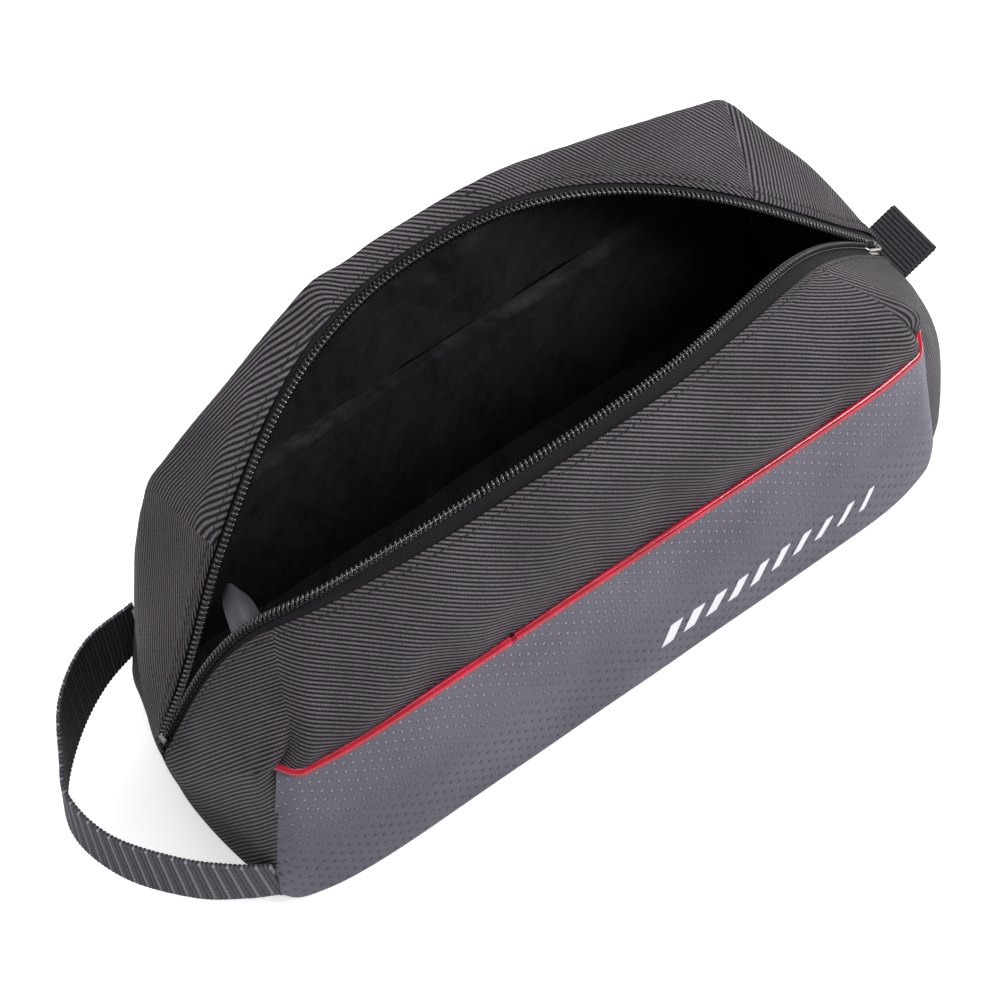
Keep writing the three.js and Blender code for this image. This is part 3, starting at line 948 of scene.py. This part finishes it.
def build_side(side):
    """Flap, end panels, hems and linings of the front or back."""
    name = SIDES[side]
    columns = rim_columns()
    pieces, flat = drape_side(side, columns)
    steps = np.arange(FLAP_STEPS * FINER + 1) / FINER
    fine = np.interp(steps, np.arange(FLAP_STEPS + 1), columns[END_STEPS:-END_STEPS])
    flap = crease(pieces["flap"], side, 0)
    flap = crease(flap, side, -1)
    inner_flap = inner_sheet(flap, side, 2.0, 7.0)
    flap_uv = cloth_uv(flat["flap"])
    flap = folded_hem(flap, side)
    tucked = flap[:1] - side_normals(flap, side)[:1] * 1.6 - np.array([0, 0, 3.0])
    seamed_flap = np.concatenate([tucked, flap])
    flap_uv = np.concatenate([flap_uv[:1] - np.array([0, 3.0]), flap_uv])
    for end, part in halves(side, fine).items():
        where = ENDS[end]
        cut, cut_uv = seamed_flap[:, part], flap_uv[:, part]
        cloth = sewn(f"{name}_flap_{where}", cut, cut_uv, side, TWILL_FLAP[side])
        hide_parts(f"{name}_flap")
        lean(cloth)

        cut, cut_uv = inner_flap[:, part], flap_uv[1:, part]
        lining = sewn(f"{name}_flap_lining_{where}", cut, cut_uv, side, LINING, THIN)
        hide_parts(f"{name}_flap_lining")
        lean(lining)

        corner = -1 if end == LEFT else 0
        creased = crease(pieces[end], side, corner)
        panel = folded_hem(creased, side)
        meeting = {LEFT: 0, RIGHT: -1}[end]
        panel[-len(flap):, corner] = flap[:, meeting]
        panel_uv = cloth_uv(flat[end])
        panel_uv[..., 0] = -end * side * flat[end][..., 1]
        end_name = f"{where}_end_panel_{name}"
        end_cloth = sewn(end_name, panel, panel_uv, side, TWILL_END[side])
        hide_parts(f"{where}_end_{name}")
        lean(end_cloth)

        inside = inner_sheet(creased, side, 2.0, 4.5)
        lining_name = f"{where}_end_lining_{name}"
        end_lining = sewn(lining_name, inside, panel_uv, side, LINING, THIN)
        lean(end_lining)

        over_panel = line_from_hem(panel, side, HEM_STITCH)
        over_flap = line_from_hem(flap[:, part], side, HEM_STITCH)
        row = stitches(f"{name}_hem_stitches_{where}", [over_panel, over_flap])
        lean(dress(row, TOPSTITCH))


def tape_grid(side, columns):
    """The zipper tape, from under the hem to under the coil."""
    lift = np.array([-1.55, -1.5, -1.0, -0.85, -0.85])
    lines = []
    for x in columns:
        reach = COIL + tape_shown(side, x)
        across = np.array([reach + 5.5, reach + 0.6, reach - 0.8, COIL + 0.4, COIL * 0.4])
        lines.append(along_polyline(section(side, x)[::-1], across))
    grid = np.stack(lines, axis=1)
    return grid + side_normals(grid, side) * lift[:, None, None]


# One turn of the coil: across the tape, and above it.
COIL_LOOP = [(3.3, 0.35), (2.5, 0.95), (1.3, 1.1), (0.2, 0.75)]
COIL_LOOP += [(-0.3, 0.0), (0.2, -0.75), (1.3, -1.1), (2.5, -0.95)]
COIL_SLANT, COIL_SUNK = 0.55, 0.35
COIL_WIRE = (0.72, 0.5)  # half-width along the zipper and half-thickness


def coil_turns(name, side, low, high):
    """The zipper coil: one glossy loop every pitch along the zipper edge."""
    fine = np.linspace(-ZIP_END + 1, ZIP_END - 1, 500)
    edge = rim(side, fine)
    inward = along_all(side, fine, COIL)
    tangent = unit(np.gradient(edge, axis=0))
    across = unit(inward - edge)
    normal = -side * unit(np.cross(tangent, across))
    lengths = polyline_lengths(edge)
    out, up = np.array(COIL_LOOP).T[:, :, None]
    slant = np.linspace(COIL_SLANT, -COIL_SLANT, len(COIL_LOOP))[:, None]
    sides = 6
    cos, sin = circle(sides)
    half_pitch = COIL_PITCH / 2 if side == BACK else 0.0
    vertices, faces = [], []
    for centre in np.arange(4 + half_pitch, lengths[-1] - 3, COIL_PITCH):
        fields = (edge, tangent, across, normal)
        place, t, a, n = (along_field(field, lengths, centre) for field in fields)
        if not low <= place[0] < high:
            continue
        path = place + a * out + n * (up - COIL_SUNK) + t * slant
        thick = unit(np.cross(unit(np.gradient(path, axis=0)), t))
        faces += tube_faces(len(path), sides, len(vertices))
        for k in range(len(path)):
            vertices += list(path[k] + t * cos * COIL_WIRE[0] + thick[k] * sin * COIL_WIRE[1])
    return new_object(name, vertices, faces)


# Pale dashes along the coil's tips: painted highlights in place of the glints of light on the
# glossy coil heads.
GLINT_DASH = (0.9, COIL_PITCH - 0.9, 0.24)  # length, gap and radius
COIL_CENTRE, COIL_TIP = COIL * 0.72, 0.9  # distances in from the zipper edge
CORD_RISE, GLINT_RISE = 0.85, 0.45


def build_zipper(side):
    name = SIDES[side]
    columns = np.linspace(-ZIP_END + 0.5, ZIP_END - 0.5, 181)
    grid = tape_grid(side, columns)
    uv = cloth_uv(grid)
    edge = rim(side, columns)
    inner = along_all(side, columns, COIL_CENTRE)
    normal = side_normals(np.stack([inner, edge]), side)[0]
    centre = inner + normal * CORD_RISE
    tips = along_all(side, columns, COIL_TIP) + normal * GLINT_RISE
    for end, part in halves(side, columns).items():
        where = ENDS[end]
        tape_name = f"zip_tape_{name}_{where}"
        tape = sewn(tape_name, grid[:, part], uv[:, part], side, TAPE, 0.6)
        lean(tape)
        meet = columns[part][-1 if end == LEFT else 0]
        low, high = (-ZIP_END, meet) if end == LEFT else (meet, ZIP_END)
        coil = coil_turns(f"zip_coil_{name}_{where}", side, low, high)
        lean(dress(coil, COIL_NYLON))
        cord = tube(f"zip_cord_{name}_{where}", centre[part], 0.42, 6)
        lean(dress(cord, TAPE))
        # painted highlights: a row of pale dashes along the coil tips
        row = stitches(f"zip_painted_glints_{name}_{where}", [(tips[part], normal[part])], *GLINT_DASH)
        lean(dress(row, COIL_GLINTS))
        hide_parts(f"zip_tape_{name}", f"zip_tape_{name}_{where}")
        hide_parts(f"zip_coil_{name}", f"zip_coil_{name}_{where}")


def along_all(side, columns, distance):
    """Points at a distance in from the zipper edge."""
    return np.stack([along_polyline(section(side, x)[::-1], distance) for x in columns])


# ---- Walls, piping, base and print ----
WALL_COLUMNS = np.linspace(-1, 1, 161)
CREASE_ROW = 30


def wall_grid(side):
    low = CREASE_HEIGHT * np.linspace(0, 1, CREASE_ROW + 1) ** 1.25
    high = np.linspace(CREASE_HEIGHT, SEAM_HEIGHT, 24)[1:]
    heights = np.concatenate([low, high])[:, None]
    grid = wall(side, WALL_COLUMNS[None, :], heights)
    edge = (1 - np.abs(WALL_COLUMNS)) * RIM_CORNER * 1.3
    x, z = grid[..., 0], grid[..., 2]
    soft = 0.55 * np.sin(x / 21 + 1.0) * np.sin(z / 13) + 0.4 * np.sin(x / 9.5 + z / 15)
    soft = soft * smooth(edge / 25) * smooth(z / 20) * smooth((SEAM_HEIGHT - z) / 12)
    valley = 0.5 * hump(edge, 8, 5) - 1.6 * hump(edge, 0, 3.4)
    rolled = -1.2 * smooth((z - SEAM_HEIGHT + 2.5) / 2.5)
    offset = soft * 0.7 + valley + rolled
    return grid + side_normals(grid, side) * offset[..., None]


LINING_DEPTH = 55.8  # centre to the wall lining, inside the padding
LINING_SHARE = 0.985  # the lining's length against the outer cloth's


def wall_lining(grid, side):
    """The lining hangs inside the padding and joins the flap's lining at the seam."""
    x, z = grid[..., 0], grid[..., 2]
    loose = 0.4 * np.sin(x / 13) + 0.4 * np.sin(x / 29 + z / 11)
    y = LINING_DEPTH + loose + 3.6 * smooth((z - 98) / 8)
    return points(x * LINING_SHARE, side * y, z)


def build_wall(side):
    name = SIDES[side]
    material, slot = (EMBOSSED, "embossed_panel") if side == FRONT else (TWILL_WALL, "twill")
    grid = wall_grid(side)
    uv = cloth_uv(grid)
    inside = wall_lining(grid, side)
    low = slice(0, CREASE_ROW + 1)
    lower = sewn(f"{name}_panel_low", grid[low], uv[low], side, material)
    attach(lower, "shell")
    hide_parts(f"{name}_panel_lower")
    above_floor = slice(4, CREASE_ROW + 1)
    cut, cut_uv = inside[above_floor], uv[above_floor]
    low_lining = sewn(f"{name}_lining_low", cut, cut_uv, side, LINING, THIN)
    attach(low_lining, "shell")
    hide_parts("lining_tub")
    for end, part in halves(side, WALL_COLUMNS * RIM_CORNER).items():
        where = ENDS[end]
        cut, cut_uv = grid[CREASE_ROW:, part], uv[CREASE_ROW:, part]
        upper = sewn(f"{name}_panel_high_{where}", cut, cut_uv, side, material)
        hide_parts(f"{name}_panel_upper")
        lean(upper)
        cut = inside[CREASE_ROW:, part]
        lining = sewn(f"{name}_lining_high_{where}", cut, cut_uv, side, LINING, THIN)
        lean(lining)
    return grid


PIPING_RADIUS, PIPING_FLANGE = 1.7, 1.05


def build_piping(grid):
    """A round cord with a narrow second ridge, sewn along the front wall seam."""
    top = spline(grid[-1], 0, 2)
    columns = np.linspace(-1, 1, len(top)) * RIM_CORNER
    ends = smooth((np.abs(columns) - RIM_CORNER + 7) / 7)
    out = mix(1.9, -2.2, ends)
    rise = 0.8 + np.where(columns > 0, 2.0, -0.6) * ends
    line = top + points(0, FRONT * out, rise)
    ridge = top + points(0, FRONT * (out - 0.1), rise - PIPING_RADIUS - 0.85)
    for end, part in halves(FRONT, columns).items():
        part = slice(part.start, part.stop + 2) if end == LEFT else part  # the two halves overlap
        cord = tube(f"front_piping_cord_{ENDS[end]}", line[part], PIPING_RADIUS, 14)
        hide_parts("front_piping", f"front_piping_{ENDS[end]}")
        lean(dress(cord, PIPING))
        flange = tube(f"front_piping_ridge_{ENDS[end]}", ridge[part], PIPING_FLANGE, 12)
        lean(dress(flange, PIPING))


def build_base():
    """The bottom panel: rings from the sewn outline to the middle, and the lining above it."""
    t = np.linspace(0, 1, 27)
    across = np.linspace(-1, 1, 161)
    outline = np.concatenate([
        wall(FRONT, across, 0.0),
        end_wall(FRONT, RIGHT, t[::-1], 0.0)[1:],
        end_wall(BACK, RIGHT, t, 0.0)[1:],
        wall(BACK, -across, 0.0)[1:],
        end_wall(BACK, LEFT, t[::-1], 0.0)[1:],
        end_wall(FRONT, LEFT, t, 0.0)[1:],
    ])
    for name, height, scale, material, slot in (
        ("base_cloth", 0.0, 1.0, BASE_CLOTH, "twill"),
        ("lining_floor", 4.7, LINING_SHARE, LINING, "lining"),
    ):
        rings = []
        for share in np.linspace(1, 0.02, 18):
            ring = outline * np.array([scale * share, scale * share, 1.0])
            ripple = 1 + np.sin(ring[:, 0] / 30) * 0.6
            ring[:, 2] += height + 0.5 * smooth((1 - share) * 8) * ripple
            rings.append(ring)
        grid = np.stack(rings)
        base = sheet(name, grid, grid[..., :2], flip=height == 0)
        base.modifiers.new("weld", "WELD").merge_threshold = 0.0002
        thicken(dress(base, material), 0.9)
        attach(base, "shell")
        if height == 0:
            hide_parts("base_panel")


PRINT_START, PRINT_PITCH, PRINT_COUNT = 12.0, 11.5, 10
PRINT_LOW, PRINT_HIGH, PRINT_SLANT = 27.0, 38.0, 6.0
PRINT_WIDTH, PRINT_TAPER, PRINT_THICKNESS = 6.2, 0.35, 0.3


def on_wall_grid(grid, x, z):
    """Points of a wall grid at places in X and Z."""
    rows = [np.interp(x, row[:, 0], row[:, 1]) for row in grid]
    heights = grid[:, grid.shape[1] // 2, 2]
    y = np.array([np.interp(z, heights, [row[k] for row in rows]) for k in range(len(x))])
    return points(x, y, z)


def build_print(panel):
    """A plain row of slanted bars printed on the front panel."""
    vertices, faces = [], []
    rise = np.linspace(0, 1, 5)
    for k in range(PRINT_COUNT):
        left = PRINT_START + k * PRINT_PITCH
        width = PRINT_WIDTH - PRINT_TAPER * k
        grid = []
        for h in rise:
            z = mix(PRINT_LOW, PRINT_HIGH, h)
            x = np.linspace(left, left + width, 5) + PRINT_SLANT * h
            grid.append(on_wall_grid(panel, x, z) + points(0, FRONT * PRINT_THICKNESS, 0))
        base = len(vertices)
        vertices += list(np.concatenate(grid))
        faces += [tuple(base + n for n in face) for face in grid_faces(5, 5, False)]
    bars = new_object("front_print", vertices, faces)
    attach(thicken(dress(bars, PRINT), PRINT_THICKNESS), "shell")


# ---- Webbing ----
WEBBING_WIDTH = 27.0
STRAP_LOOP = [  # the strap's lower edge, and how far its upper edge leans over in X and Y
    ((-170, -60, 11), (0, 0)),
    ((-182, -53, 11), (0, 2)),
    ((-198, -40, 10), (0, 6)),
    ((-215, -16, 8), (1, 8)),
    ((-222, 10, 7), (4, 7)),
    ((-216, 30, 8), (5, 3)),
    ((-198, 47, 13), (0, 6)),
    ((-177, 58, 18), (0, 8)),
    ((-153, 62, 25), (0, 3)),
]


def ribbed(grid, depth=0.22):
    """Cross ribs of webbing along a grid's columns, with a scalloped edge."""
    lengths = cloth_uv(grid)[..., 0]
    normal = unit(np.cross(np.gradient(grid, axis=1), np.gradient(grid, axis=0)))
    up = unit(np.gradient(grid, axis=0))
    ridge = np.cos(2 * np.pi * lengths / RIB_PITCH)
    rows = np.linspace(-1, 1, grid.shape[0])[:, None]
    edge = np.sign(rows) * np.abs(rows) ** 12
    return grid + normal * (depth * ridge)[..., None] + up * (edge * ridge * 0.3)[..., None]


def build_handle():
    lower = np.array([low for low, _ in STRAP_LOOP], float)
    lean_over = np.array([(x, y, 0) for _, (x, y) in STRAP_LOOP], float)
    lean_over[:, 2] = np.sqrt(WEBBING_WIDTH**2 - (lean_over**2).sum(axis=1))
    lower, lean_over = spline(lower, 0, 100), spline(lean_over, 0, 100)
    grid = np.stack([lower + share * lean_over for share in np.linspace(0, 1, 15)])
    strap = sheet("carry_strap", ribbed(grid), cloth_uv(grid), flip=True)
    thicken(dress(strap, STRAP_CLOTH), 1.7, offset=0)
    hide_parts("carry_handle")
    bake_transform(strap)


TAB_REACH, TAB_RISE = 16.0, math.radians(24)
TAB_HALF_GAP = 1.15  # middle of the tab to the middle of each layer


def tab_place():
    """The tab's root, the direction in which it stands out, and the one across it."""
    c, s = math.cos(TAB_RISE), math.sin(TAB_RISE)
    return joint_place("end_tab_flex"), np.array([c, 0, s]), np.array([-s, 0, c])


def build_tab():
    """A short piece of webbing folded in half."""
    place, out, up = tab_place()
    bend = np.linspace(-np.pi / 2, np.pi / 2, 12)
    run = np.linspace(-6, TAB_REACH - 3, 40)
    flat = np.full_like(run, TAB_HALF_GAP)
    reach = np.concatenate([run, TAB_REACH - 2.4 + 1.4 * np.cos(bend), run[::-1]])
    rise = np.concatenate([-flat, TAB_HALF_GAP * np.sin(bend), flat])
    path = place + reach[:, None] * out + rise[:, None] * up
    width = np.linspace(-WEBBING_WIDTH / 2, WEBBING_WIDTH / 2, 15)
    grid = spline(np.stack([path + np.array([0, w, 0]) for w in width]), 1, 2)
    tab = sheet("end_tab_fold", ribbed(grid, 0.15), cloth_uv(grid), flip=True)
    thicken(dress(tab, TAB_CLOTH), 1.6, offset=0)
    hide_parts("end_tab")
    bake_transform(tab)


# ---- Slider and puller ----
def rounded_outline(corners, radius, steps=5):
    """A closed outline through corners, with each one rounded."""
    corners = np.array(corners, float)
    result = []
    for k, corner in enumerate(corners):
        back = unit(corners[k - 1] - corner) * radius
        on = unit(corners[(k + 1) % len(corners)] - corner) * radius
        t = np.linspace(0, 1, steps)[:, None]
        result.append(corner + (1 - t) ** 2 * back + t**2 * on)
    return np.concatenate(result)


def plate(outline, low, high):
    """Vertices and faces of a flat plate."""
    count = len(outline)
    vertices = [(x, y, low) for x, y in outline] + [(x, y, high) for x, y in outline]
    faces = [tuple(reversed(range(count))), tuple(range(count, 2 * count))]
    faces += [(k, (k + 1) % count, count + (k + 1) % count, count + k) for k in range(count)]
    return vertices, faces


def join_parts(name, parts):
    vertices, faces = [], []
    for some, shapes in parts:
        faces += [tuple(k + len(vertices) for k in face) for face in shapes]
        vertices += list(some)
    return new_object(name, vertices, faces)


def bevelled(obj, width):
    modifier = obj.modifiers.new("edges", "BEVEL")
    modifier.width = width * MM
    modifier.segments = 2
    modifier.limit_method = "ANGLE"
    return obj


SLIDER_AT = math.asin(0.5 * sum(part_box("slider_body"), Vector())[0] / MM / ZIP_RADIUS)


def on_zipper(obj, outwards):
    """Sets an object on the closed zipper's circle, with its X along the zipper."""
    radius = ZIP_RADIUS + outwards
    c, s = math.cos(SLIDER_AT), math.sin(SLIDER_AT)
    place = Vector((radius * s, 0, ZIP_CENTRE + radius * c)) * MM
    obj.data.transform(Matrix.Translation(place) @ Matrix.Rotation(SLIDER_AT, 4, "Y"))
    return obj


def build_slider():
    corners = [(-7.3, -3.4), (2, -5.4), (7.3, -5.4), (7.3, 5.4), (2, 5.4), (-7.3, 3.4)]
    shield = rounded_outline(corners, 1.6)
    parts = [plate(shield, 1.7, 3.0), plate(shield, -3.0, -1.7)]
    post = rounded_outline([(2.5, -1.1), (7, -1.1), (7, 1.1), (2.5, 1.1)], 0.5)
    parts.append(plate(post, -1.8, 1.8))
    for side in (-1, 1):
        inner, outer = side * 4.4, side * 5.35
        rim_bar = rounded_outline([(-6, inner), (5.5, inner), (5.5, outer), (-3, outer)], 0.3)
        if side < 0:
            rim_bar = rim_bar[::-1]
        parts += [plate(rim_bar, 0.9, 1.9), plate(rim_bar, -1.9, -0.9)]
    body = on_zipper(bevelled(join_parts("zip_slider_body", parts), 0.3), 0)
    fitted(body, NICKEL, "slider_body", "slider")

    arch = 3.2 * np.sin(np.linspace(0, np.pi, 25)) ** 0.45
    line = points(np.linspace(-4.4, 4.4, 25), 0, 3.0 + arch)
    bail = on_zipper(tube("zip_slider_bail", line, 0.75, 10), 0)
    fitted(bail, NICKEL, "slider_bail", "slider")


def build_stops():
    """A small black clip across each end of the zipper, where its two halves meet."""
    clip = rounded_outline([(-1.4, -3.0), (1.4, -3.0), (1.4, 3.0), (-1.4, 3.0)], 0.5)
    for end in (LEFT, RIGHT):
        x = end * (ZIP_END - 2.0)
        place = 0.5 * sum(rim(side, np.array([x]))[0] for side in (FRONT, BACK))
        stop = bevelled(join_parts(f"zip_end_stop_{ENDS[end]}", [plate(clip, -1.1, 1.1)]), 0.4)
        slope = math.asin(x / ZIP_RADIUS)
        stop.data.transform(Matrix.Translation(Vector(place) * MM) @ Matrix.Rotation(slope, 4, "Y"))
        fitted(stop, COIL_NYLON, f"zip_stop_{ENDS[end]}", "shell")


def ring_tube(name, outline, radius, sides=10):
    """A closed wire ring lying flat."""
    line = points(outline[:, 0], outline[:, 1], 0)
    tangent = unit(np.roll(line, -1, axis=0) - np.roll(line, 1, axis=0))
    side = np.cross(tangent, [0, 0, 1.0])
    cos, sin = circle(sides)
    ring = side[:, None] * cos + np.array([0, 0, 1.0]) * sin
    vertices = (line[:, None] + ring * radius).reshape(-1, 3)
    return new_object(name, vertices, tube_faces(len(line), sides, closed=True))


def build_puller():
    outline = rounded_outline([(-0.3, -3.5), (9.6, -3.5), (9.6, 3.5), (-0.3, 3.5)], 1.4, 7)
    pin = joint_place("pull_ring_hinge") - joint_place("slider_travel")
    height = math.hypot(pin[0], pin[2]) - ZIP_RADIUS
    ring = on_zipper(ring_tube("zip_pull_ring", outline, 0.62), height)
    fitted(ring, NICKEL, "pull_ring", "pull")


# ---- Inner label ----
LABEL_AT = -137.0  # zipper position of the label's middle
LABEL_REACH, LABEL_WIDTH = 27.0, 12.0


def build_label():
    """A blank satin label that stands out from under the front tape and curls across its width."""
    along = np.linspace(0, 1, 21)[:, None]
    across = np.linspace(-0.5, 0.5, 17)[None, :]
    root = rim(FRONT, np.array([LABEL_AT]))[0] + np.array([0, -3.0, -8.0])
    width = LABEL_WIDTH * (1 - 0.6 * along**3)
    x = root[0] + across * width + 7.0 * along
    y = root[1] + LABEL_REACH * along - 5.0 * across
    z = root[2] - 7.0 * along + 3.5 * np.sin(np.pi * along) + 4.5 * np.cos(np.pi * across)
    label = sheet("care_label", points(x, y, z))
    thicken(dress(label, LABEL_CLOTH), 0.35)
    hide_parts("inner_label")
    lean(label)


for side in (FRONT, BACK):
    build_side(side)
    build_zipper(side)
FRONT_WALL = build_wall(FRONT)
build_wall(BACK)
build_piping(FRONT_WALL)
build_base()
build_print(FRONT_WALL)
build_handle()
build_tab()
build_slider()
build_puller()
build_stops()
build_label()

# ---- Finishes of the CAD pieces that stay ----
KEPT = {f"{side}_padding_{level}": FOAM for side in SIDES.values() for level in ("lower", "upper")}
KEPT["base_board"] = BOARD
for node, material in KEPT.items():
    data = frame["nodes"][node].data
    data.materials.clear()
    data.materials.append(material)


# ---- Stage ----
FLOOR_HALF, FLOOR_LEVEL = 4000.0, -0.4


def build_floor():
    turns = ((-1, -1), (1, -1), (1, 1), (-1, 1))
    corners = [(x * FLOOR_HALF, y * FLOOR_HALF, FLOOR_LEVEL) for x, y in turns]
    floor = new_object("floor", corners, [(0, 1, 2, 3)])
    floor.data.materials.append(paper_floor())


LIT_POINT, SEEN_POINT = Vector((0, 0, 0.08)), Vector((0, 0, 0.06))


def soft_box(name, place, size, power):
    """A soft area light aimed at the bag."""
    data = bpy.data.lights.new(name, "AREA")
    data.shape = "RECTANGLE"
    data.size, data.size_y = size
    data.energy = power
    light = bpy.data.objects.new(name, data)
    light.location = place
    aim = LIT_POINT - Vector(place)
    light.rotation_euler = aim.to_track_quat("-Z", "Y").to_euler()
    bpy.context.collection.objects.link(light)


AMBIENT = 0.4  # light from all round, against 1 for the background that the camera sees


def build_world():
    world = bpy.data.worlds.new("studio")
    world.use_nodes = True
    nodes, links = world.node_tree.nodes, world.node_tree.links
    seen = nodes.new("ShaderNodeLightPath").outputs["Is Camera Ray"]
    strength = nodes.new("ShaderNodeMapRange")
    links.new(seen, strength.inputs["Value"])
    strength.inputs["To Min"].default_value = AMBIENT
    strength.inputs["To Max"].default_value = 1.0
    background = nodes["Background"]
    background.inputs["Color"].default_value = (1, 1, 1, 1)
    links.new(strength.outputs["Result"], background.inputs["Strength"])
    bpy.context.scene.world = world


AZIMUTH, ELEVATION, ROLL = (math.radians(angle) for angle in (-31.4, 60.0, -5.6))
CAMERA_DISTANCE, FOCAL_RATIO, CAMERA_SHIFT = 1.258, 3.083, (-0.029, 0.002)
SENSOR_WIDTH = 36.0


def build_camera():
    data = bpy.data.cameras.new("camera")
    data.sensor_width = SENSOR_WIDTH
    data.lens = SENSOR_WIDTH * FOCAL_RATIO
    data.shift_x, data.shift_y = CAMERA_SHIFT
    a, e = AZIMUTH, ELEVATION
    back = Vector((math.sin(a) * math.cos(e), -math.cos(a) * math.cos(e), math.sin(e)))
    camera = bpy.data.objects.new("camera", data)
    camera.location = SEEN_POINT + back * CAMERA_DISTANCE
    level = (-back).to_track_quat("-Z", "Y")
    camera.rotation_mode = "QUATERNION"
    camera.rotation_quaternion = level @ Matrix.Rotation(ROLL, 3, "Z").to_quaternion()
    bpy.context.collection.objects.link(camera)
    bpy.context.scene.camera = camera


build_floor()
soft_box("key", (0.75, -0.75, 1.15), (0.6, 0.6), 20)
soft_box("top", (0.1, 0.25, 1.5), (0.8, 0.5), 7)
soft_box("rim", (0.3, 1.2, 0.7), (0.9, 0.4), 4)
soft_box("fill", (-1.1, 0.35, 0.5), (0.5, 0.5), 2.5)
build_world()
build_camera()
bpy.context.scene.view_settings.view_transform = "Standard"
